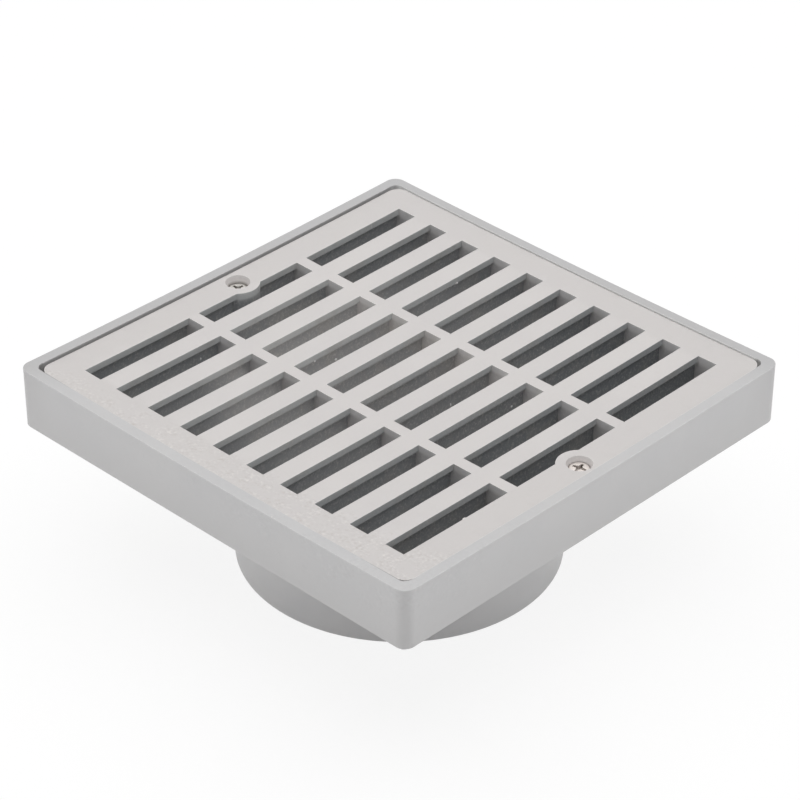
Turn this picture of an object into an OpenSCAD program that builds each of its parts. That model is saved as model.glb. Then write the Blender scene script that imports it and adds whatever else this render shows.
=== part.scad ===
/* [Frame] */
// Side of the square frame
frame_side = 181; // [165:1:240]
// Height of the frame's outer wall at its corners
frame_h = 22.6; // [20.9:0.1:40]
// Radius of the frame's upright corners
frame_corner_r = 4.2; // [2:0.1:8]
// How far each side of the frame leans in at its foot, so that it leaves the mould
frame_draft = 0.15; // [0:0.05:0.6]
// Width of the rim around the grate
rim_w = 4; // [3:0.1:8]
// How far the opening lies off the frame's middle, towards +Y
opening_off = 0.3; // [0:0.05:0.6]
// Radius of the opening's corners
opening_corner_r = 2.8; // [1:0.1:6]
// Width of the ledge that the grate sits on
ledge_w = 4; // [3:0.5:5]
// Thickness of the floor at the outlet
floor_t = 4; // [3:0.5:5.5]
// Rise of the floor from the outlet to the corners
floor_fall = 2; // [0.5:0.5:3]

/* [Outlet] */
// Outside diameter of the spigot, that of a nominal 4 in. pipe
spigot_od = 114.3; // [90:0.1:136]
// Length of the spigot below the frame
spigot_drop = 50.8; // [20:0.2:80]
// Wall of the spigot
spigot_wall = 5; // [3:0.5:8]
// Chamfer around the spigot's lower end
spigot_chamfer = 0.3; // [0.2:0.1:1.5]
// Fillet between the spigot and the underside of the frame
spigot_fillet_r = 2; // [0.5:0.5:4]

/* [Grate] */
// Gap between the grate and the rim beside the first and the last column of slots
side_gap = 0.8; // [0.3:0.05:1]
// Gap between the grate and the rim beyond the ends of the slots
end_gap = 0.3; // [0.2:0.05:0.6]
// Height of the grate at its corners
grate_h = 12; // [9:0.5:14]
// How far the grate has slid towards +X in its opening, as a share of its gap there
side_slide = 0.57; // [-0.9:0.01:0.9]
// How far the grate has slid towards +Y, as a share of its gap there
end_slide = -0.16; // [-0.9:0.01:0.9]
// How far the grate lies below the rim, all the way round
grate_drop = 0.5; // [0:0.05:1]
// How much rounder the grate's corners are than the opening's
corner_ease = 1.8; // [0:0.1:3]
// How much lower the middle of the grate lies than its corners; the rim follows the same dish
dish = 1.6; // [0.4:0.1:2]
// Thickness of the slotted plate
plate_t = 2.5; // [1.6:0.1:4]
// Wall of the skirt and of the ribs round the slots
grate_wall = 2.8; // [2:0.1:3]

/* [Slots] */
// Slots across the grate
slot_columns = 10; // [6:1:12]
// Rows of slots along the grate
slot_rows = 3; // [1:1:5]
// Width of each bar between two slots
bar_w = 7.74; // [5:0.02:10]
// Width of each web between two rows
web_w = 4.5; // [3:0.1:10]
// Plain border beside the first and last column
side_border = 11.2; // [10:0.1:16]
// Plain border beyond the ends of the rows
end_border = 10.8; // [9:0.1:16]
// How far the rib under a bar is set back from the slot, on each side
rib_setback = 1.3; // [0.3:0.1:1.6]

/* [Screws] */
// Distance from the grate's edge to a screw's axis
screw_inset = 5.8; // [5.5:0.05:8]
// Diameter of the screw's thread
screw_d = 3.5; // [2.5:0.1:4]
// Length of the screw under its head
screw_l = 12.7; // [10:0.1:13.4]
// Diameter of the screw's head
head_d = 7; // [5:0.1:7.6]
// Height of the screw's head
head_h = 2.2; // [1.8:0.1:2.6]
// How much the head's crown rises above the head's edge
crown_h = 0.3; // [0.2:0.1:1]
// How far the top of the left head lies below the grate around it
left_depth = 2.5; // [0.5:0.1:2.6]
// How far the top of the right head lies below the grate around it
right_depth = 1.6; // [0.5:0.1:2.6]
// Gap around the head in its counterbore
head_gap = 0.2; // [0.1:0.05:0.4]
// How much wider the counterbore gets from the head's edge up to its mouth
head_flare = 0.75; // [0.2:0.05:1]
// Gap around the thread in the grate
shank_gap = 0.25; // [0.1:0.05:0.5]
// Gap around the thread in its post
pilot_gap = 0.05; // [0.02:0.01:0.1]
// Radius of the boss around each screw in the grate
boss_r = 7.8; // [6.5:0.1:9]
// Radius of the post under each boss
post_r = 5.5; // [4:0.1:6.5]
// Length of each arm pair of the cross recess, end to end
recess_l = 4.8; // [3:0.1:4.8]
// Width of a recess arm
recess_w = 0.95; // [0.6:0.05:1.2]
// Depth of the cross recess
recess_depth = 1.3; // [0.8:0.1:1.6]
// Turn of the recess in the left screw
left_turn = 0; // [-45:1:45]
// Turn of the recess in the right screw
right_turn = 11; // [-45:1:45]

/* [Hidden] */
$fn = 96;
// Cutters run past the faces that they open by this much
past = 1;
// Space left under a screw's tip in its post
tip_room = 0.8;
// Rings that make up a dished face
dish_rings = 14;

rim_z = spigot_drop + frame_h;
opening_side = frame_side - 2 * rim_w;
grate_size = opening_side * [1, 1] - 2 * [side_gap, end_gap];
grate_corner_r = opening_corner_r + corner_ease;
grate_reach = norm(grate_size) / 2;
rim_reach = (frame_side / 2 - frame_corner_r) * sqrt(2) + frame_corner_r;
middle_z = rim_z - grate_drop - dish * pow(rim_reach / grate_reach, 2);
grate_top = middle_z + dish;
seat_z = grate_top - grate_h;
shift = [side_slide * side_gap, opening_off + end_slide * end_gap, 0];
floor_z = spigot_drop + floor_t;
bore_r = spigot_od / 2 - spigot_wall;

field_w = grate_size[0] - 2 * side_border;
field_l = grate_size[1] - 2 * end_border;
slot_w = (field_w - (slot_columns - 1) * bar_w) / slot_columns;
slot_l = (field_l - (slot_rows - 1) * web_w) / slot_rows;
column_pitch = slot_w + bar_w;
row_pitch = slot_l + web_w;

screw_x = grate_size[0] / 2 - screw_inset;
// The left screw stands at side -1 and the right one at side 1
sides = [-1, 1];

body_color = [0.70, 0.70, 0.70];
grate_color = [0.80, 0.79, 0.78];
steel_color = [0.75, 0.74, 0.72];

// Height of the grate's dished top at distance r from the middle
function dish_z(r) = middle_z + dish * pow(r / grate_reach, 2);

// Angle at which the dish rises, at distance d from a middle line
function dish_angle(d) = atan(2 * dish * d / pow(grate_reach, 2));

// Height of the face that a screw's head rests on
function head_seat(side) = dish_z(screw_x) - head_h - (side < 0 ? left_depth : right_depth);

// Flat rectangle with round corners
module round_rect(size, r) {
    square(size - [2 * r, 0], center = true);
    square(size - [0, 2 * r], center = true);
    for (x = [-1, 1], y = [-1, 1])
        translate([x * (size[0] / 2 - r), y * (size[1] / 2 - r)]) circle(r);
}

// The opening in the frame, less a margin all round
module opening(margin) {
    translate([0, opening_off]) round_rect((opening_side - 2 * margin) * [1, 1], opening_corner_r);
}

// One half of the frame's section, from its middle line out to the drafted wall
module frame_section(half) {
    top = frame_h + past;
    polygon([[0, 0], [half - frame_draft, 0], [half + frame_draft * past / frame_h, top], [0, top]]);
}

// The frame as a full block, somewhat higher than its rim
module frame_block() {
    straight = frame_side - 2 * frame_corner_r;
    for (turn = [0 : 90 : 270])
        rotate([90, 0, turn])
            translate([0, 0, -straight / 2])
                linear_extrude(straight) frame_section(frame_side / 2);
    for (x = [-1, 1], y = [-1, 1])
        translate([x * straight / 2, y * straight / 2, 0])
            rotate_extrude() frame_section(frame_corner_r);
}

// All that lies above a dished face, which is the grate's raised by lift, as cone rings
module above_dish(lift) {
    radii = [for (i = [0 : dish_rings + 1]) rim_reach * i / dish_rings];
    top = rim_z + 2 * past;
    rotate_extrude() polygon(concat(
        [for (r = radii) [r, dish_z(r) + lift]],
        [[radii[dish_rings + 1], top], [0, top]]
    ));
}

module spigot() {
    outer_r = spigot_od / 2;
    rotate_extrude() {
        polygon([
            [0, 0],
            [outer_r - spigot_chamfer, 0],
            [outer_r, spigot_chamfer],
            [outer_r, spigot_drop + past],
            [0, spigot_drop + past]
        ]);
        difference() {
            translate([outer_r - past, spigot_drop - spigot_fillet_r])
                square([spigot_fillet_r + past, spigot_fillet_r + past]);
            translate([outer_r + spigot_fillet_r, spigot_drop - spigot_fillet_r])
                circle(spigot_fillet_r);
        }
    }
}

// The space under the grate, whose floor falls to the outlet like a shallow funnel
module sump() {
    far_r = (opening_side / 2 - ledge_w + opening_off) * sqrt(2);
    intersection() {
        linear_extrude(seat_z + past) opening(ledge_w);
        rotate_extrude() polygon([
            [0, floor_z],
            [bore_r, floor_z],
            [far_r, floor_z + floor_fall],
            [far_r, seat_z + past],
            [0, seat_z + past]
        ]);
    }
}

module posts() {
    for (side = sides)
        translate([side * screw_x, 0, floor_z - past])
            cylinder(h = seat_z - floor_z + past, r = post_r);
}

module post_holes() {
    for (side = sides)
        translate([side * screw_x, 0, head_seat(side) - screw_l - tip_room])
            cylinder(h = screw_l, r = screw_d / 2 + pilot_gap);
}

module drain_body() {
    color(body_color) difference() {
        union() {
            difference() {
                union() {
                    translate([0, 0, spigot_drop]) frame_block();
                    spigot();
                }
                translate([0, 0, seat_z]) linear_extrude(rim_z - seat_z + past) opening(0);
                sump();
                translate([0, 0, -past]) cylinder(h = floor_z + 2 * past, r = bore_r);
            }
            translate(shift) posts();
        }
        translate(shift) post_holes();
        above_dish(grate_drop);
    }
}

// An upright block around the middle line of a slot, from below the grate up to the given height
module slot_block(width, top) {
    translate([-width / 2, -slot_l / 2, seat_z - past]) cube([width, slot_l, top - seat_z + past]);
}

// One slot: narrow through the plate, and wider between the ribs under it
module slot(x, y) {
    under = dish_z(norm([x, y])) - plate_t;
    translate([x, y, 0]) {
        slot_block(slot_w, grate_top + past);
        intersection() {
            slot_block(slot_w + 2 * rib_setback, grate_top);
            translate([0, 0, under])
                rotate([dish_angle(y), -dish_angle(x), 0])
                    translate([0, 0, -slot_l]) cube(2 * slot_l, center = true);
        }
    }
}

module slots() {
    for (column = [0 : slot_columns - 1], row = [0 : slot_rows - 1])
        slot(
            (column - (slot_columns - 1) / 2) * column_pitch,
            (row - (slot_rows - 1) / 2) * row_pitch
        );
}

// The groove that hollows the border from below, between the skirt and the ribs
module border_groove() {
    inner_r = max(grate_corner_r - grate_wall, 0.5);
    translate([0, 0, seat_z - past])
        linear_extrude(middle_z - plate_t - seat_z + past) difference() {
            round_rect(grate_size - 2 * grate_wall * [1, 1], inner_r);
            square([
                field_w + 2 * rib_setback + 2 * grate_wall,
                field_l + 2 * grate_wall
            ], center = true);
        }
}

module bosses() {
    intersection() {
        for (side = sides)
            translate([side * screw_x, 0, seat_z]) cylinder(h = grate_h, r = boss_r);
        translate([0, 0, seat_z]) linear_extrude(grate_h) round_rect(grate_size, grate_corner_r);
    }
}

// Holes for the thread and the head, which flare from the head's edge up to the mouth
module screw_holes() {
    bore = head_d / 2 + head_gap;
    for (side = sides) {
        edge_z = head_seat(side) + head_h - crown_h;
        mouth_h = dish_z(screw_x) - edge_z;
        translate([side * screw_x, 0, 0]) {
            translate([0, 0, seat_z - past])
                cylinder(h = grate_h + 2 * past, r = screw_d / 2 + shank_gap);
            translate([0, 0, head_seat(side)]) cylinder(h = head_h, r = bore);
            translate([0, 0, edge_z]) cylinder(
                h = mouth_h + past,
                r1 = bore,
                r2 = bore + head_flare * (mouth_h + past) / mouth_h
            );
        }
    }
}

module grate() {
    color(grate_color) translate(shift) difference() {
        union() {
            difference() {
                translate([0, 0, seat_z]) linear_extrude(grate_h) round_rect(grate_size, grate_corner_r);
                slots();
                border_groove();
            }
            bosses();
        }
        screw_holes();
        above_dish(0);
    }
}

// A pan head screw in its place, with its recess turned
module screw(side, turn) {
    head_r = head_d / 2;
    crown_r = (head_r * head_r + crown_h * crown_h) / (2 * crown_h);
    color(steel_color) translate(shift + [side * screw_x, 0, head_seat(side)]) difference() {
        union() {
            rotate_extrude() intersection() {
                square([head_r, head_h]);
                translate([0, head_h - crown_r]) circle(crown_r);
            }
            translate([0, 0, -screw_l]) cylinder(h = screw_l + head_h / 2, r = screw_d / 2);
        }
        translate([0, 0, head_h - recess_depth]) rotate([0, 0, turn]) linear_extrude(head_h) {
            square([recess_l, recess_w], center = true);
            square([recess_w, recess_l], center = true);
            circle(recess_w);
        }
    }
}

module screw_left() {
    screw(-1, left_turn);
}

module screw_right() {
    screw(1, right_turn);
}

drain_body();
grate();
screw_left();
screw_right();
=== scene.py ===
import math
import random

import bmesh
import bpy
from mathutils import Matrix, Vector


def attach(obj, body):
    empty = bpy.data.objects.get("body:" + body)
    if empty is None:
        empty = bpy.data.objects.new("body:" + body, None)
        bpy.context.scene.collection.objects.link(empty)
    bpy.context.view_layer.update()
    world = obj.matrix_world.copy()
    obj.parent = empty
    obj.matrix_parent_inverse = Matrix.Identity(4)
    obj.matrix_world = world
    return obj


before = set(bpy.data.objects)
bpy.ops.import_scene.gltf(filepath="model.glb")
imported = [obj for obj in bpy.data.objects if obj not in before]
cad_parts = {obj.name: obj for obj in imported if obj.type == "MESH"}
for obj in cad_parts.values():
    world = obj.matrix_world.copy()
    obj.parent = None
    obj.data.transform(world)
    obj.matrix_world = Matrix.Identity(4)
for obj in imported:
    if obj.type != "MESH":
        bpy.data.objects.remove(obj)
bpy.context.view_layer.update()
print("Frame loaded")

mm = 0.001
white = (1, 1, 1, 1)
mixFactor, mixUnder, mixOver, mixColor = 0, 6, 7, 2  # a Mix node's sockets when it mixes colours
scene = bpy.context.scene
scene.view_settings.view_transform = "Standard"


# Turns an sRGB hex colour into the linear one that nodes take
def hexToLinear(hexText):
    def toLinear(value):
        return value / 12.92 if value <= 0.04045 else ((value + 0.055) / 1.055) ** 2.4
    parts = [int(hexText[i:i + 2], 16) / 255 for i in (1, 3, 5)]
    return tuple(toLinear(part) for part in parts) + (1.0,)


# Adds one node: settings are its properties or inputs, links are (input, from node, from output)
def addNode(tree, kind, place, settings=None, links=()):
    node = tree.nodes.new(kind)
    node.location = place
    for key, value in (settings or {}).items():
        if isinstance(key, str) and hasattr(node, key) and key not in node.inputs:
            setattr(node, key, value)
        else:
            node.inputs[key].default_value = value
    for key, source, output in links:
        tree.links.new(source.outputs[output], node.inputs[key])
    return node


def newMaterial(name):
    material = bpy.data.materials.new(name)
    material.use_nodes = True
    material.node_tree.nodes.clear()
    return material, material.node_tree


def linkOnce(thing):
    scene.collection.objects.link(thing)
    return thing


# Camera, in the photograph's place
cameraSettings = {
    "azimuth": 44.2012,         # degrees round from the -Y side
    "elevation": 33.5172,       # degrees down
    "roll": 0.1042,             # degrees
    "focal": 3209.66,           # pixels, in a picture 800 pixels wide
    "pictureWidth": 800,
    "sensorWidth": 36,          # mm
    "aim": (12.769, -12.985, 71.194),  # mm, the point in the middle of the picture
    "distance": 1062.68,        # mm
    "nearest": 0.05,            # m
    "furthest": 50,
}


def placeCamera(settings):
    azimuth, elevation, roll = (
        math.radians(settings[key]) for key in ("azimuth", "elevation", "roll")
    )
    back = Vector((
        math.sin(azimuth) * math.cos(elevation),
        -math.cos(azimuth) * math.cos(elevation),
        math.sin(elevation),
    ))
    level = Vector((math.cos(azimuth), math.sin(azimuth), 0))
    upright = back.cross(level)
    right = math.cos(roll) * level + math.sin(roll) * upright
    up = back.cross(right)
    data = bpy.data.cameras.new("camera")
    data.sensor_width = settings["sensorWidth"]
    data.lens = settings["focal"] * data.sensor_width / settings["pictureWidth"]
    data.clip_start = settings["nearest"]
    data.clip_end = settings["furthest"]
    camera = linkOnce(bpy.data.objects.new("camera", data))
    turn = Matrix((right, up, back)).transposed().to_4x4()
    aim = Vector(settings["aim"]) * mm
    camera.matrix_world = Matrix.Translation(aim + back * settings["distance"] * mm) @ turn
    scene.camera = camera


placeCamera(cameraSettings)
print("Camera placed")

# Soft studio light: a wide box overhead, low strips at both sides, a small warm light below
# the open pipe and a little light from all round
lightSettings = {
    "roomStrength": 0.30,       # light from all round
    "backdropStrength": 1,      # what the camera sees behind the drain, where 1 is white
    "middle": (0, 0, 0.06),     # m, where the strips point
    "topSize": 2.2,             # m
    "topHeight": 1.4,
    "topRadiance": 1.38,
    "topShift": 0.3,            # m, away from the camera
    "stripWidth": 1.6,
    "stripHeight": 0.16,
    "stripDistance": 1.5,
    "stripLevel": 0.09,         # low, so that it lights the sides and stays out of the slots
    "stripRadiance": 7.5,
    "stripSpread": 74,          # degrees left and right of the camera
    "underSize": 0.075,         # m, across
    "underLevel": 0.002,
    "underRadiance": 1.1,
    "underColor": "#fff6ee",
    "underShift": -0.015,       # m along X
    "underAim": (0, 0, 1),      # m, up through the pipe
}


# An area lamp as bright as a surface of that radiance, where 1 is a white card in full light
def addSoftBox(name, place, target, size, radiance):
    data = bpy.data.lights.new(name, "AREA")
    data.shape = "RECTANGLE"
    data.size, data.size_y = size
    data.energy = radiance * math.pi * size[0] * size[1]
    lamp = linkOnce(bpy.data.objects.new(name, data))
    lamp.location = place
    lamp.rotation_euler = (Vector(place) - Vector(target)).to_track_quat("Z", "Y").to_euler()
    return lamp


# Gives 1 to what the camera sees, itself or by way of metal and glass, and 0 to all other light
def addShown(tree):
    path = addNode(tree, "ShaderNodeLightPath", (-1000, 100))
    seen = addNode(tree, "ShaderNodeMath", (-800, 100), {"operation": "MAXIMUM"},
                   [(0, path, "Is Camera Ray"), (1, path, "Is Glossy Ray")])
    return addNode(tree, "ShaderNodeMath", (-600, 100), {"operation": "MAXIMUM"},
                   [(0, seen, 0), (1, path, "Is Transmission Ray")])


def lightStudio(settings):
    azimuth = math.radians(cameraSettings["azimuth"])
    top = (
        -math.sin(azimuth) * settings["topShift"],
        math.cos(azimuth) * settings["topShift"],
        settings["topHeight"],
    )
    size = (settings["topSize"],) * 2
    addSoftBox("topSoftBox", top, (top[0], top[1], 0), size, settings["topRadiance"])
    for name, side in (("leftStrip", -1), ("rightStrip", 1)):
        angle = math.radians(cameraSettings["azimuth"] + side * settings["stripSpread"])
        place = (
            math.sin(angle) * settings["stripDistance"],
            -math.cos(angle) * settings["stripDistance"],
            settings["stripLevel"],
        )
        size = (settings["stripWidth"], settings["stripHeight"])
        addSoftBox(name, place, settings["middle"], size, settings["stripRadiance"])
    under = (settings["underShift"], 0, settings["underLevel"])
    size = (settings["underSize"],) * 2
    lamp = addSoftBox("underLight", under, settings["underAim"], size, settings["underRadiance"])
    lamp.data.shape = "DISK"
    lamp.data.color = hexToLinear(settings["underColor"])[:3]
    lamp.visible_camera = False
    world = bpy.data.worlds.new("studio")
    world.use_nodes = True
    scene.world = world
    tree = world.node_tree
    tree.nodes.clear()
    shown = addShown(tree)
    room = addNode(tree, "ShaderNodeBackground", (-200, 100), {
        "Color": white, "Strength": settings["roomStrength"],
    })
    backdrop = addNode(tree, "ShaderNodeBackground", (-200, -100), {
        "Color": white, "Strength": settings["backdropStrength"],
    })
    mix = addNode(tree, "ShaderNodeMixShader", (0, 0), None,
                  [(0, shown, 0), (1, room, 0), (2, backdrop, 0)])
    addNode(tree, "ShaderNodeOutputWorld", (200, 0), None, [("Surface", mix, 0)])


lightStudio(lightSettings)
print("Lights placed")

# Plain matt studio paper, white where it is open and a light grey where the drain shades it.
# From below it is clear, so that the underside can be looked at.
floorSettings = {
    "size": 8,                  # m
    "color": "#f5f5f5",
    "shadeColor": "#6e6e6e",    # the part of what the camera sees that the shadow takes away
    "glow": 0.86,               # the part that it doesn't
    "level": -0.0002,           # m, just under the pipe, so that they don't share a plane
}


def makeFloor(settings):
    material, tree = newMaterial("studioPaper")
    shown = addShown(tree)
    paper = addNode(tree, "ShaderNodeBsdfDiffuse", (-200, -100), {
        "Color": hexToLinear(settings["color"]),
    })
    shade = addNode(tree, "ShaderNodeBsdfDiffuse", (-400, -200), {
        "Color": hexToLinear(settings["shadeColor"]),
    })
    glow = addNode(tree, "ShaderNodeEmission", (-400, -350), {
        "Color": white, "Strength": settings["glow"],
    })
    pale = addNode(tree, "ShaderNodeAddShader", (-200, -250), None, [(0, shade, 0), (1, glow, 0)])
    mix = addNode(tree, "ShaderNodeMixShader", (0, 0), None,
                  [(0, shown, 0), (1, paper, 0), (2, pale, 0)])
    side = addNode(tree, "ShaderNodeNewGeometry", (-200, 300))
    clear = addNode(tree, "ShaderNodeBsdfTransparent", (0, -200))
    whole = addNode(tree, "ShaderNodeMixShader", (200, 0), None,
                    [(0, side, "Backfacing"), (1, mix, 0), (2, clear, 0)])
    addNode(tree, "ShaderNodeOutputMaterial", (400, 0), None, [("Surface", whole, 0)])
    half, level = settings["size"] / 2, settings["level"]
    mesh = bpy.data.meshes.new("floor")
    corners = [(x * half, y * half, level) for x, y in ((-1, -1), (1, -1), (1, 1), (-1, 1))]
    mesh.from_pydata(corners, [], [(0, 1, 2, 3)])
    mesh.materials.append(material)
    floor = linkOnce(bpy.data.objects.new("floor", mesh))


makeFloor(floorSettings)
print("Floor laid")

# Both mouldings: PVC pipe compound, satin from the mould's fine grain, which handling rubs pale.
# Each Noise is a detail and a roughness, each Range the values of a noise or of a measure of
# direction between which a mask rises, and each Ramp the same for a length in mm.
mouldedSettings = {
    "ior": 1.53,
    "cloudNoise": (4, 0.55),
    "cloudRange": (0.38, 0.62),
    "scuffNoise": (6, 0.7),
    "scuffRange": (0.4, 0.6),
    "scuffRest": 0.1,           # how strong the scuffs are away from the front
    "speckNoise": (2, 0.5),     # breaks the scuffs up into specks, with nicks between them
    "speckRange": (0.52, 0.7),
    "nickRange": (0.46, 0.3),
    "grainNoise": (3, 0.6),
    "grainDepth": 0.02,         # mm
    "glossRange": (0.3, 0.7),
    "wornHighlightReach": 0.4,           # mm
    "wornHighlightRange": (0.995, 0.9),  # how well the rounded normal agrees with the true one
    "wornHighlightSamples": 6,
    "uprightRange": (0.6, 0.3),  # the normal's Z, on its way to an upright face
}

# Body: neutral grey, with a faint cloudiness from the melt
bodySettings = {
    **mouldedSettings,
    "color": "#b9b8b8",
    "paleColor": "#c7c6c6",     # the two front sides, painted a little paler: a painted highlight for the light that they catch
    "paleBy": "toFront",        # X less Y, which grows towards the front corner
    "paleRamp": (0, 18),
    "cloudColor": "#bdbdbf",
    "cloudSize": 28,            # mm
    "cloudShare": 0.35,
    "roughness": (0.38, 0.5),
    "grainSize": 1.6,           # mm, drawn ten times too coarse, so that it shows
    "speckSize": 1.2,           # mm
    "scuffColor": "#cbcaca",
    "scuffSize": 9,             # mm
    "scuffAxis": (0.4, -1, 0),
    "scuffRamp": (60, 130),     # along that axis, where the scuffs get stronger
    "cornerRamp": (170, 190),   # X less Y, where they do so too, round the front corner
    "nickColor": "#bfbebe",
    "wornHighlightColor": "#d2d1d1",     # edges worn by handling, with a painted highlight along them
    "wornHighlightStrength": 0.7,
    "edgeRadius": 0.3,          # mm
    "outerReach": 89,           # mm, edges further out than this are eased in full
    "innerShare": 0.25,
    "lowColor": "#bfbebe",      # the front sides, a little darker towards their lower edge
    "lowRamp": (68, 51),        # height
    "lowEnd": 50.6,             # mm
    "gapColor": "#e6e6e5",      # the wall of the narrow gap at the back, painted pale: painted light where it would lie in shade
    "gapRange": (-0.7, -0.95),  # the normal's Y
    "gapFrom": 84,              # mm, Y
    "gapTo": 88,
    "seamColor": "#7d7b7a",     # painted shade along the front joint, where the gap shows dark, towards both corners
    "seamCorner": (83.7, 83.4),  # mm to either side and to the front, the rounded corner's middle
    "seamRoom": 10,             # mm, more than the corner's radius
    "seamPlace": 2.92,          # mm out from the middle, just past the opening's edge
    "seamHalf": 0.16,           # mm
    "seamRamp": (66, 88),       # X to either side
    "seamReach": 85.4,          # mm, X to either side, where the line ends in the rounded corner
    "seamAbove": 70,            # mm, so that the line stays on top
    "nookColor": "#8e8d8c",     # painted shade in the opening's left and right corners
    "nookLeft": (-169.2, -170.6, 1),  # mm, X plus Y, and how strong it gets
    "nookRight": (169.2, 170.6, 0.7),  # weaker on the right
    "nookReach": 88,            # mm, inside of which the opening's wall lies
}

# Grate: a little lighter and warmer, with pale scuffs near its front edge and cool slots with
# painted shade
grateSettings = {
    **mouldedSettings,
    "color": "#cfcbc9",
    "paleColor": "#d4d0ce",     # the slotted part, rubbed a little paler
    "paleBy": "reach",          # distance from the middle lines
    "paleRamp": (75.5, 73),
    "cloudColor": "#cecac9",
    "cloudSize": 34,            # mm
    "cloudShare": 0.5,
    "roughness": (0.38, 0.52),
    "grainSize": 1.3,           # mm, drawn ten times too coarse, as on the body
    "speckSize": 1.1,           # mm
    "scuffColor": "#dedad7",
    "scuffSize": 6,             # mm
    "scuffAxis": (0.08, -1, 0),
    "scuffRamp": (72, 78),
    "cornerRamp": (142, 158),
    "nickColor": "#c5bfbb",
    # worn slot and bar edges, with a painted highlight along them
    "wornHighlightColor": "#f0edea",
    "wornHighlightStrength": 1,
    "edgeRadius": 0.1,          # mm
    "outerReach": 0,
    "innerShare": 1,
    "fieldReach": 76.2,         # mm, Y to either side, just past the ends of the slots
    "fieldSide": 0.6,           # mm less along X, so that the counterbores stay out
    "boreColor": "#e8e4e3",     # walls of the counterbores and the outer joint, painted pale: painted light where they lie in shade
    "boreDarkLowColor": "#a39f9b",  # the same walls further down, darker
    "boreRamp": (70.1, 68.9),   # height
    "rimShadeColor": "#454342",  # painted shade low down between the front edge and the frame, at both ends
    "rimShadeRamp": (79.5, 82),  # X to either side
    "rimReach": 84,             # mm from the middle lines, past which the outer wall lies
    "wallColor": "#d0d2d2",     # upright faces in the slots, a cooler grey
    "deepColor": "#aeafb1",     # painted shade on all that lies low in the slots
    "deepRamp": (69.5, 68.3),   # height
    "wallShadeColor": "#b9bcbe",  # both again with more painted shade, growing along the axis
    "deepShadeColor": "#84888c",
    "shadeAxis": (1, 0.43, 0),
    "shadeRamp": (-50, 85),     # along that axis, where there is more and more of it
    "leftShadeColor": "#84888c",  # painted shade on the ribs on the left too
    "leftRamp": (-42, -52),     # X
    "leftStrength": 0.45,
    "endColor": "#dedcdc",      # painted light on the slots' far end walls
    "lowEndColor": "#c8c6c6",   # the same walls further down, also painted lighter
    "endRange": (-0.75, -0.9),  # the normal's Y
    "stainColor": "#b5b2ae",    # brownish dirt in patches on the upright faces
    "stainSize": 14,            # mm
    "stainNoise": (5, 0.6),
    "stainRange": (0.5, 0.62),
    "stainStrength": 0.35,
    "dustColor": "#dcdad6",     # fine dust on the upright faces
    "dustSize": 0.9,            # mm
    "dustNoise": (3, 0.7),
    "dustRange": (0.5, 0.72),
    "dustStrength": 0.6,
}


# Where a point lies and which way it faces there, each as a node and its output
def measurePlaces(tree):
    place = addNode(tree, "ShaderNodeTexCoord", (-2000, 0))
    axes = addNode(tree, "ShaderNodeSeparateXYZ", (-1600, 0), None, [("Vector", place, "Object")])
    away = addNode(tree, "ShaderNodeVectorMath", (-1800, -200), {"operation": "ABSOLUTE"},
                   [(0, place, "Object")])
    spread = addNode(tree, "ShaderNodeSeparateXYZ", (-1600, -200), None, [("Vector", away, 0)])
    reach = addNode(tree, "ShaderNodeMath", (-1400, -200), {"operation": "MAXIMUM"},
                    [(0, spread, 0), (1, spread, 1)])
    toFront = addNode(tree, "ShaderNodeMath", (-1400, -350), {"operation": "SUBTRACT"},
                      [(0, axes, "X"), (1, axes, "Y")])
    surface = addNode(tree, "ShaderNodeNewGeometry", (-1600, -500))
    facing = addNode(tree, "ShaderNodeSeparateXYZ", (-1400, -500), None,
                     [("Vector", surface, "Normal")])
    return {
        "place": (place, "Object"),
        "x": (axes, "X"),
        "y": (axes, "Y"),
        "z": (axes, "Z"),
        "sideways": (spread, 0),    # X to either side
        "endways": (spread, 1),     # Y to either side
        "reach": (reach, 0),        # the larger of the two
        "toFront": (toFront, 0),    # X less Y, largest at the front corner
        "normal": (surface, "Normal"),
        "normalY": (facing, "Y"),
        "normalZ": (facing, "Z"),
    }
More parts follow.
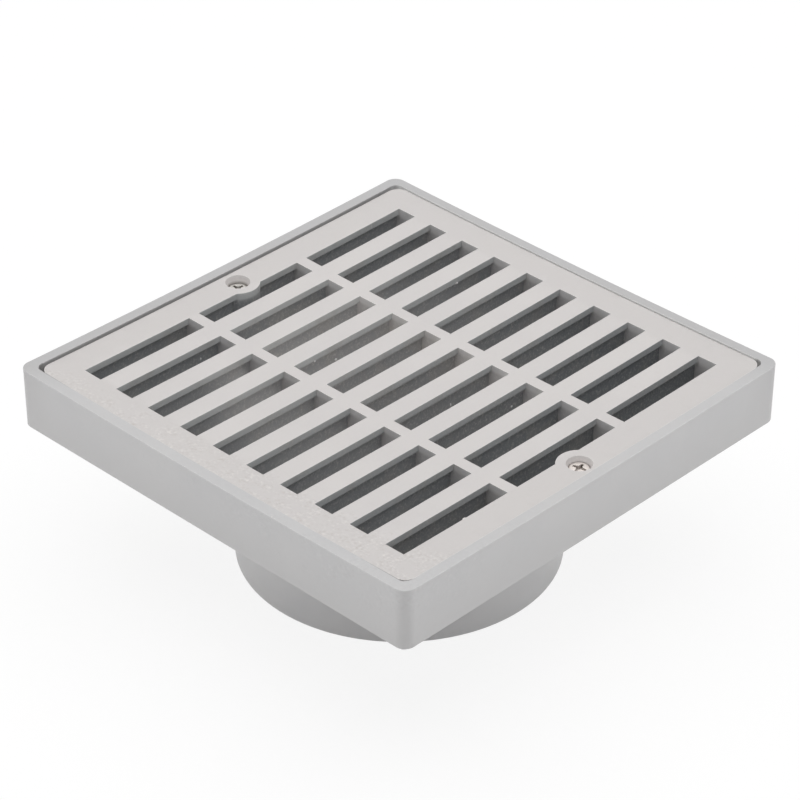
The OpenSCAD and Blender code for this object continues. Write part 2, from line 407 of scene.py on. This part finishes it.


# The body's painted shade, painted light and darkening towards the bottom, as masks with their
# colours in the order in which they lie
def bodyLightAndShade(tree, at, settings):
    masks = {}
    masks["facesGrate"] = addNode(tree, "ShaderNodeMapRange", (-1000, -700), {
        "From Min": settings["gapRange"][0], "From Max": settings["gapRange"][1],
    }, [("Value", *at["normalY"])])
    masks["wall"] = addNode(tree, "ShaderNodeMapRange", (-1000, -950), {
        "From Min": settings["uprightRange"][0], "From Max": settings["uprightRange"][1],
    }, [("Value", *at["normalZ"])])
    masks["lowDarkening"] = addNode(tree, "ShaderNodeMapRange", (-1000, -1200), {
        "From Min": settings["lowRamp"][0] * mm, "From Max": settings["lowRamp"][1] * mm,
    }, [("Value", *at["z"])])
    masks["seamEnds"] = addNode(tree, "ShaderNodeMapRange", (-1000, -1450), {
        "From Min": settings["seamRamp"][0] * mm, "From Max": settings["seamRamp"][1] * mm,
    }, [("Value", *at["sideways"])])
    # How far out from the middle of the rounded corner, so that the seam follows its arc
    sideways, ahead = settings["seamCorner"]
    room = settings["seamRoom"]
    pastSide = addNode(tree, "ShaderNodeMapRange", (-1600, -1700), {
        "From Min": sideways * mm, "From Max": (sideways + room) * mm, "To Max": room * mm,
    }, [("Value", *at["sideways"])])
    pastFront = addNode(tree, "ShaderNodeMapRange", (-1600, -1950), {
        "From Min": -ahead * mm, "From Max": -(ahead + room) * mm, "To Max": room * mm,
    }, [("Value", *at["y"])])
    outward = addNode(tree, "ShaderNodeCombineXYZ", (-1400, -1700), None,
                      [("X", pastSide, 0), ("Y", pastFront, 0)])
    out = addNode(tree, "ShaderNodeVectorMath", (-1200, -1700), {"operation": "LENGTH"},
                  [(0, outward, 0)])
    masks["onSeam"] = addNode(tree, "ShaderNodeMath", (-1000, -1700), {
        "operation": "COMPARE", 1: settings["seamPlace"] * mm, 2: settings["seamHalf"] * mm,
    }, [(0, out, "Value")])
    across = addNode(tree, "ShaderNodeMath", (-1400, -2200), {"operation": "ADD"},
                     [(0, *at["x"]), (1, *at["y"])])
    nooks = []
    for row, key in enumerate(("nookLeft", "nookRight")):
        start, end, most = settings[key]
        nooks.append(addNode(tree, "ShaderNodeMapRange", (-1200, -2200 - 250 * row), {
            "From Min": start * mm, "From Max": end * mm, "To Max": most,
        }, [("Value", across, 0)]))
    masks["inCorner"] = addNode(tree, "ShaderNodeMath", (-1000, -2200), {"operation": "MAXIMUM"},
                                [(0, nooks[0], 0), (1, nooks[1], 0)])
    limits = (
        ("pastGap", "y", "GREATER_THAN", "gapFrom"),
        ("beforeRim", "y", "LESS_THAN", "gapTo"),
        ("onFrame", "z", "GREATER_THAN", "lowEnd"),
        ("inFront", "sideways", "LESS_THAN", "seamReach"),
        ("onTop", "z", "GREATER_THAN", "seamAbove"),
        ("inside", "reach", "LESS_THAN", "nookReach"),
    )
    for row, (name, measure, operation, limit) in enumerate(limits):
        masks[name] = addNode(tree, "ShaderNodeMath", (-800, -700 - 150 * row), {
            "operation": operation, 1: settings[limit] * mm,
        }, [(0, *at[measure])])
    products = (
        ("inGap", "pastGap", "beforeRim"),
        ("gap", "facesGrate", "inGap"),
        ("low", "lowDarkening", "onFrame"),
        ("seamLine", "onSeam", "seamEnds"),
        ("seamSpan", "inFront", "onTop"),
        ("seam", "seamLine", "seamSpan"),
        ("innerWall", "wall", "inside"),
        ("nook", "inCorner", "innerWall"),
    )
    for row, (name, first, second) in enumerate(products):
        masks[name] = addNode(tree, "ShaderNodeMath", (-600, -700 - 150 * row), {
            "operation": "MULTIPLY",
        }, [(0, masks[first], 0), (1, masks[second], 0)])
    return [(masks[name], name + "Color") for name in ("low", "gap", "nook", "seam")]


# The same for the grate: its upright walls, painted light on the counterbore and end walls, painted
# shade low in the slots and at the outer wall, stains and dust
def grateLightShadeAndDirt(tree, at, settings):
    masks = {}
    masks["upright"] = addNode(tree, "ShaderNodeMapRange", (-1200, -700), {
        "From Min": settings["uprightRange"][0], "From Max": settings["uprightRange"][1],
    }, [("Value", *at["normalZ"])])
    masks["facesFront"] = addNode(tree, "ShaderNodeMapRange", (-1200, -950), {
        "From Min": settings["endRange"][0], "From Max": settings["endRange"][1],
    }, [("Value", *at["normalY"])])
    fromSide = addNode(tree, "ShaderNodeMath", (-1400, -700), {
        "operation": "ADD", 1: settings["fieldSide"] * mm,
    }, [(0, *at["sideways"])])
    fieldReach = addNode(tree, "ShaderNodeMath", (-1400, -850), {"operation": "MAXIMUM"},
                         [(0, fromSide, 0), (1, *at["endways"])])
    masks["inField"] = addNode(tree, "ShaderNodeMath", (-1000, -700), {
        "operation": "LESS_THAN", 1: settings["fieldReach"] * mm,
    }, [(0, fieldReach, 0)])
    masks["outside"] = addNode(tree, "ShaderNodeMath", (-1000, -850), {
        "operation": "GREATER_THAN", 1: settings["rimReach"] * mm,
    }, [(0, *at["reach"])])
    toShade = addNode(tree, "ShaderNodeVectorMath", (-1400, -1200), {
        "operation": "DOT_PRODUCT", 1: settings["shadeAxis"],
    }, [(0, *at["place"])])
    ramps = (
        ("low", at["z"], "deepRamp", 1),
        ("boreLow", at["z"], "boreRamp", 1),
        ("rimEnds", at["sideways"], "rimShadeRamp", 1),
        ("shade", (toShade, "Value"), "shadeRamp", 1),
        ("onLeft", at["x"], "leftRamp", settings["leftStrength"]),
    )
    for row, (name, measure, ramp, most) in enumerate(ramps):
        masks[name] = addNode(tree, "ShaderNodeMapRange", (-1200, -1200 - 250 * row), {
            "From Min": settings[ramp][0] * mm, "From Max": settings[ramp][1] * mm,
            "To Max": most,
        }, [("Value", *measure)])
    for row, kind in enumerate(("stain", "dust")):
        detail, rough = settings[kind + "Noise"]
        noise = addNode(tree, "ShaderNodeTexNoise", (-1600, -2500 - 250 * row), {
            "Scale": 1 / (settings[kind + "Size"] * mm), "Detail": detail, "Roughness": rough,
        }, [("Vector", *at["place"])])
        start, end = settings[kind + "Range"]
        masks[kind + "Patches"] = addNode(tree, "ShaderNodeMapRange", (-1200, -2500 - 250 * row), {
            "From Min": start, "From Max": end, "To Max": settings[kind + "Strength"],
        }, [("Value", noise, 0)])
    products = (
        ("wall", "upright", "inField"),
        ("deep", "low", "inField"),
        ("wallShade", "wall", "shade"),
        ("deepShade", "deep", "shade"),
        ("leftShade", "deep", "onLeft"),
        ("end", "wall", "facesFront"),
        ("lowEnd", "deep", "facesFront"),
        ("stain", "wall", "stainPatches"),
        ("dust", "wall", "dustPatches"),
        ("rimFront", "facesFront", "rimEnds"),
        ("rimShade", "rimFront", "outside"),
    )
    for row, (name, first, second) in enumerate(products):
        masks[name] = addNode(tree, "ShaderNodeMath", (-800, -700 - 150 * row), {
            "operation": "MULTIPLY",
        }, [(0, masks[first], 0), (1, masks[second], 0)])
    # Upright faces outside the slots, painted pale as painted light
    masks["bore"] = addNode(tree, "ShaderNodeMath", (-600, -700), {"operation": "SUBTRACT"},
                            [(0, masks["upright"], 0), (1, masks["wall"], 0)])
    masks["boreDarkLow"] = addNode(tree, "ShaderNodeMath", (-600, -850), {"operation": "MULTIPLY"},
                                [(0, masks["bore"], 0), (1, masks["boreLow"], 0)])
    return [(masks[name], name + "Color") for name in (
        "bore", "boreDarkLow", "rimShade", "wall", "wallShade", "deep", "deepShade", "leftShade",
        "end", "lowEnd", "stain", "dust",
    )]


# Colour from paler parts (on the body a painted highlight on the front sides), clouds, nicks,
# scuffs and worn edges with a painted highlight, laid over each other in that order, with the
# piece's own painted light, painted shade and dirt on top
def pvcMaterial(name, settings, addLightShadeAndDirt):
    material, tree = newMaterial(name)
    at = measurePlaces(tree)
    noises = {}
    for row, kind in enumerate(("cloud", "scuff", "speck", "grain")):
        detail, rough = settings[kind + "Noise"]
        noises[kind] = addNode(tree, "ShaderNodeTexNoise", (-1400, 800 - 250 * row), {
            "Scale": 1 / (settings[kind + "Size"] * mm), "Detail": detail, "Roughness": rough,
        }, [("Vector", *at["place"])])
    marks = {}
    markKinds = (
        ("cloud", "cloud", settings["cloudShare"]),
        ("scuff", "scuff", 1),
        ("speck", "speck", 1),
        ("nick", "speck", 1),
    )
    for row, (mark, noise, most) in enumerate(markKinds):
        start, end = settings[mark + "Range"]
        marks[mark] = addNode(tree, "ShaderNodeMapRange", (-1200, 800 - 250 * row), {
            "From Min": start, "From Max": end, "To Max": most,
        }, [("Value", noises[noise], 0)])
    along = addNode(tree, "ShaderNodeVectorMath", (-1400, -700), {
        "operation": "DOT_PRODUCT", 1: settings["scuffAxis"],
    }, [(0, *at["place"])])
    ramps = (
        ("pale", at[settings["paleBy"]], "paleRamp", 0),
        ("corner", at["toFront"], "cornerRamp", 0),
        ("front", (along, "Value"), "scuffRamp", settings["scuffRest"]),
    )
    for row, (mark, measure, ramp, least) in enumerate(ramps):
        marks[mark] = addNode(tree, "ShaderNodeMapRange", (-1200, -200 - 250 * row), {
            "From Min": settings[ramp][0] * mm, "From Max": settings[ramp][1] * mm,
            "To Min": least,
        }, [("Value", *measure)])
    used = addNode(tree, "ShaderNodeMath", (-1000, -450), {"operation": "MAXIMUM"},
                   [(0, marks["front"], 0), (1, marks["corner"], 0)])
    rubbed = addNode(tree, "ShaderNodeMath", (-1000, 450), {"operation": "MULTIPLY"},
                     [(0, used, 0), (1, marks["scuff"], 0)])
    scuffs = addNode(tree, "ShaderNodeMath", (-850, 450), {"operation": "MULTIPLY"},
                     [(0, rubbed, 0), (1, marks["speck"], 0)])
    nicks = addNode(tree, "ShaderNodeMath", (-850, 300), {"operation": "MULTIPLY"},
                    [(0, rubbed, 0), (1, marks["nick"], 0)])
    # How far a point lies on an eased edge: worn edges, with a painted highlight along them
    rounded = addNode(tree, "ShaderNodeBevel", (-1000, -50), {
        "samples": settings["wornHighlightSamples"], "Radius": settings["wornHighlightReach"] * mm,
    })
    turn = addNode(tree, "ShaderNodeVectorMath", (-1000, -200), {"operation": "DOT_PRODUCT"},
                   [(0, rounded, 0), (1, *at["normal"])])
    wornHighlight = addNode(tree, "ShaderNodeMapRange", (-850, -200), {
        "From Min": settings["wornHighlightRange"][0], "From Max": settings["wornHighlightRange"][1],
        "To Max": settings["wornHighlightStrength"],
    }, [("Value", turn, "Value")])
    layers = [
        (marks["pale"], "paleColor"),
        (marks["cloud"], "cloudColor"),
        (nicks, "nickColor"),
        (scuffs, "scuffColor"),
        (wornHighlight, "wornHighlightColor"),
        *addLightShadeAndDirt(tree, at, settings),
    ]
    color = None
    for row, (mask, hexName) in enumerate(layers):
        values = {"data_type": "RGBA", mixOver: hexToLinear(settings[hexName])}
        links = [(mixFactor, mask, 0)]
        if color:
            links.append((mixUnder, color, mixColor))
        else:
            values[mixUnder] = hexToLinear(settings["color"])
        color = addNode(tree, "ShaderNodeMix", (-600 + 160 * row, 600), values, links)
    gloss = addNode(tree, "ShaderNodeMapRange", (-600, 0), {
        "From Min": settings["glossRange"][0], "From Max": settings["glossRange"][1],
        "To Min": settings["roughness"][0], "To Max": settings["roughness"][1],
    }, [("Value", noises["scuff"], 0)])
    bump = addNode(tree, "ShaderNodeBump", (-600, -300), {
        "Strength": 1, "Distance": settings["grainDepth"] * mm,
    }, [("Height", noises["grain"], 0)])
    shader = addNode(tree, "ShaderNodeBsdfPrincipled", (2300, 0), {"IOR": settings["ior"]}, [
        ("Base Color", color, mixColor), ("Roughness", gloss, 0), ("Normal", bump, 0),
    ])
    addNode(tree, "ShaderNodeOutputMaterial", (2600, 0), None, [("Surface", shader, 0)])
    return material


# Screws: stainless steel, cold headed and tumbled, bright but matt, with grime and painted shade in
# the cross
screwSettings = {
    "color": "#c8c2be",
    "grimeAndShadeColor": "#65594f",
    "grimeAndShadeReach": 0.9,          # mm
    "grimeAndShadeRange": (0.78, 0.5),  # share of open sky
    "grimeAndShadeSamples": 8,
    "roughness": (0.6, 0.75),
    "scratchSize": 0.6,         # mm, drawn coarser than the real fine scratches
    "scratchNoise": (3, 0.6),
    "scratchRange": (0.3, 0.7),
    "edgeRadius": 0.12,         # mm
    "outerReach": 0,
    "innerShare": 1,
}
# The left screw sits deeper, so its steel is painted a little darker as painted shade
shadedScrewSettings = {**screwSettings, "color": "#c4c2be"}


def steelMaterial(name, settings):
    material, tree = newMaterial(name)
    place = addNode(tree, "ShaderNodeTexCoord", (-1000, 0))
    # Darkening by occlusion in the cross and under the head: painted shade, with a brownish grime
    # tint
    shut = addNode(tree, "ShaderNodeAmbientOcclusion", (-800, 200), {
        "samples": settings["grimeAndShadeSamples"], "Distance": settings["grimeAndShadeReach"] * mm,
    })
    grimeAndShade = addNode(tree, "ShaderNodeMapRange", (-600, 200), {
        "From Min": settings["grimeAndShadeRange"][0], "From Max": settings["grimeAndShadeRange"][1],
    }, [("Value", shut, "AO")])
    bare = addNode(tree, "ShaderNodeMath", (-400, 0), {"operation": "SUBTRACT", 0: 1.0},
                   [(1, grimeAndShade, 0)])
    color = addNode(tree, "ShaderNodeMix", (-400, 200), {
        "data_type": "RGBA",
        mixUnder: hexToLinear(settings["color"]), mixOver: hexToLinear(settings["grimeAndShadeColor"]),
    }, [(mixFactor, grimeAndShade, 0)])
    detail, rough = settings["scratchNoise"]
    scratch = addNode(tree, "ShaderNodeTexNoise", (-800, -100), {
        "Scale": 1 / (settings["scratchSize"] * mm), "Detail": detail, "Roughness": rough,
    }, [("Vector", place, "Object")])
    gloss = addNode(tree, "ShaderNodeMapRange", (-600, -100), {
        "From Min": settings["scratchRange"][0], "From Max": settings["scratchRange"][1],
        "To Min": settings["roughness"][0], "To Max": settings["roughness"][1],
    }, [("Value", scratch, 0)])
    shader = addNode(tree, "ShaderNodeBsdfPrincipled", (-100, 0), None, [
        ("Base Color", color, mixColor), ("Metallic", bare, 0), ("Roughness", gloss, 0),
    ])
    addNode(tree, "ShaderNodeOutputMaterial", (200, 0), None, [("Surface", shader, 0)])
    return material


# How all pieces are eased
easeSettings = {
    "sharpFrom": 35,            # degrees between two faces
    "outerBand": 0.1,           # mm, over which the easing grows to its full radius
    "segments": 2,
    "weld": 0.002,              # mm, joins the corners of neighbouring faces
}


# Says how far each sharp edge is eased: outer edges in full, and all others by the inner share
def edgeWeights(name, outerReach, innerShare):
    tree = bpy.data.node_groups.new(name, "GeometryNodeTree")
    for way in ("INPUT", "OUTPUT"):
        tree.interface.new_socket("Geometry", in_out=way, socket_type="NodeSocketGeometry")
    shape = addNode(tree, "NodeGroupInput", (-800, 0))
    angle = addNode(tree, "GeometryNodeInputMeshEdgeAngle", (-800, -200))
    sharp = addNode(tree, "FunctionNodeCompare", (-600, -200), {
        "data_type": "FLOAT", "operation": "GREATER_THAN",
        1: math.radians(easeSettings["sharpFrom"]),
    }, [(0, angle, "Unsigned Angle")])
    place = addNode(tree, "GeometryNodeInputPosition", (-1000, -400))
    away = addNode(tree, "ShaderNodeVectorMath", (-800, -400), {"operation": "ABSOLUTE"},
                   [(0, place, 0)])
    axes = addNode(tree, "ShaderNodeSeparateXYZ", (-600, -400), None, [(0, away, 0)])
    reach = addNode(tree, "ShaderNodeMath", (-400, -400), {"operation": "MAXIMUM"},
                    [(0, axes, 0), (1, axes, 1)])
    share = addNode(tree, "ShaderNodeMapRange", (-200, -400), {
        "From Min": (outerReach - easeSettings["outerBand"]) * mm, "From Max": outerReach * mm,
        "To Min": innerShare,
    }, [("Value", reach, 0)])
    store = addNode(tree, "GeometryNodeStoreNamedAttribute", (0, 0), {
        "data_type": "FLOAT", "domain": "EDGE", "Name": "bevel_weight_edge",
    }, [("Geometry", shape, 0), ("Selection", sharp, 0), ("Value", share, 0)])
    addNode(tree, "NodeGroupOutput", (200, 0), None, [(0, store, 0)])
    return tree


def dress(name, material, settings):
    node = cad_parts[name]
    node.data.materials.clear()
    node.data.materials.append(material)
    weld = node.modifiers.new("weld", "WELD")
    weld.merge_threshold = easeSettings["weld"] * mm
    weights = node.modifiers.new("edgeWeights", "NODES")
    weights.node_group = edgeWeights(name + "Edges", settings["outerReach"], settings["innerShare"])
    ease = node.modifiers.new("easedEdges", "BEVEL")
    ease.width = settings["edgeRadius"] * mm
    ease.segments = easeSettings["segments"]
    ease.limit_method = "WEIGHT"
    ease.use_clamp_overlap = False


bodyPlastic = pvcMaterial("mouldedPvcBody", bodySettings, bodyLightAndShade)
gratePlastic = pvcMaterial("mouldedPvcGrate", grateSettings, grateLightShadeAndDirt)
dress("drain_body", bodyPlastic, bodySettings)
dress("grate", gratePlastic, grateSettings)
dress("screw_left", steelMaterial("shadedStainlessSteel", shadedScrewSettings), shadedScrewSettings)
dress("screw_right", steelMaterial("tumbledStainlessSteel", screwSettings), screwSettings)
print("Materials set")

# Small leftovers of moulding on the slot walls and on edges, each drawn as a rough little pebble
nubSettings = {
    "columnPitch": 15.674,      # mm, from slot to slot
    "rowPitch": 51.77,
    "middleColumn": 4.5,        # columns count from 0 to 9 and rows from 0 to 2
    "middleRow": 1,
    "slotHalf": 3.97,
    "ribSetback": 1.3,
    "plateThickness": 2.5,
    "middle": (0.456, 0.252),
    "dishTop": 71.174,          # mm, height of the grate's top in the middle
    "dishRise": 1.6,
    "dishReach": 121.55,        # mm from the middle, where the top has risen by dishRise
    "seed": 7,
    "roughen": 0.25,            # share of a lump's size
    "flashColor": "#ffffff",    # the walls' colour on thin flash, through which light shines
    # column and row of the slot, mm along it from its middle, mm below the top, size along X, Y, Z
    "flash": [
        (1, 0, 15.4, 6.2, (0.35, 0.45, 0.5)),
        (3, 1, -2.6, 7.5, (0.45, 0.6, 0.45)),
        (3, 1, -13.9, 2.4, (0.35, 0.5, 0.35)),
        (3, 2, 4.4, 2.4, (0.4, 0.55, 0.4)),
        (6, 1, 4.9, 7.7, (0.3, 0.35, 0.6)),
        (7, 1, 18.0, 7.5, (0.3, 0.45, 0.45)),
        (0, 2, 9.4, 1.3, (0.06, 0.12, 1.0)),
    ],
    # middle and size along X, Y and Z
    "burrs": [((74.75, -47.85, 71.85), (0.35, 0.8, 0.12))],
    "dings": [
        ((31.9, -90.15, 72.5), (0.3, 0.28, 0.35)),
        ((33.3, -90.15, 72.45), (0.22, 0.28, 0.3)),
    ],
}


def addLump(shape, center, size, rough, settings):
    start = len(shape.verts)
    bmesh.ops.create_icosphere(shape, subdivisions=2, radius=1)
    shape.verts.ensure_lookup_table()
    for vert in shape.verts[start:]:
        swell = 1 + settings["roughen"] * (rough.random() - 0.5)
        vert.co = Vector(c + s * v * swell for c, s, v in zip(center, size, vert.co)) * mm


def lumpPiece(name, lumps, material, settings):
    rough = random.Random(settings["seed"])
    shape = bmesh.new()
    for center, size in lumps:
        addLump(shape, center, size, rough, settings)
    for face in shape.faces:
        face.smooth = True
    mesh = bpy.data.meshes.new(name)
    shape.to_mesh(mesh)
    shape.free()
    mesh.materials.append(material)
    piece = linkOnce(bpy.data.objects.new(name, mesh))
    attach(piece, "root")


# Where a lump sits on the left wall of a slot, or on the rib under it if it lies deep
def onWall(column, row, along, below, settings):
    x = (column - settings["middleColumn"]) * settings["columnPitch"] - settings["slotHalf"]
    y = (row - settings["middleRow"]) * settings["rowPitch"] + along
    top = settings["dishTop"] + settings["dishRise"] * (x * x + y * y) / settings["dishReach"] ** 2
    if below > settings["plateThickness"]:
        x -= settings["ribSetback"]
    return (settings["middle"][0] + x, settings["middle"][1] + y, top - below)


flash = [(onWall(*spot, nubSettings), size) for *spot, size in nubSettings["flash"]]
wallColors = ("wallColor", "wallShadeColor", "deepColor", "deepShadeColor", "leftShadeColor")
flashColors = dict.fromkeys(wallColors, nubSettings["flashColor"])
paleFlash = pvcMaterial("paleFlash", {**grateSettings, **flashColors}, grateLightShadeAndDirt)
lumpPiece("slot_flash", flash, paleFlash, nubSettings)
lumpPiece("edge_burr", nubSettings["burrs"], gratePlastic, nubSettings)
lumpPiece("rim_ding", nubSettings["dings"], paleFlash, nubSettings)
print("Moulding leftovers added")
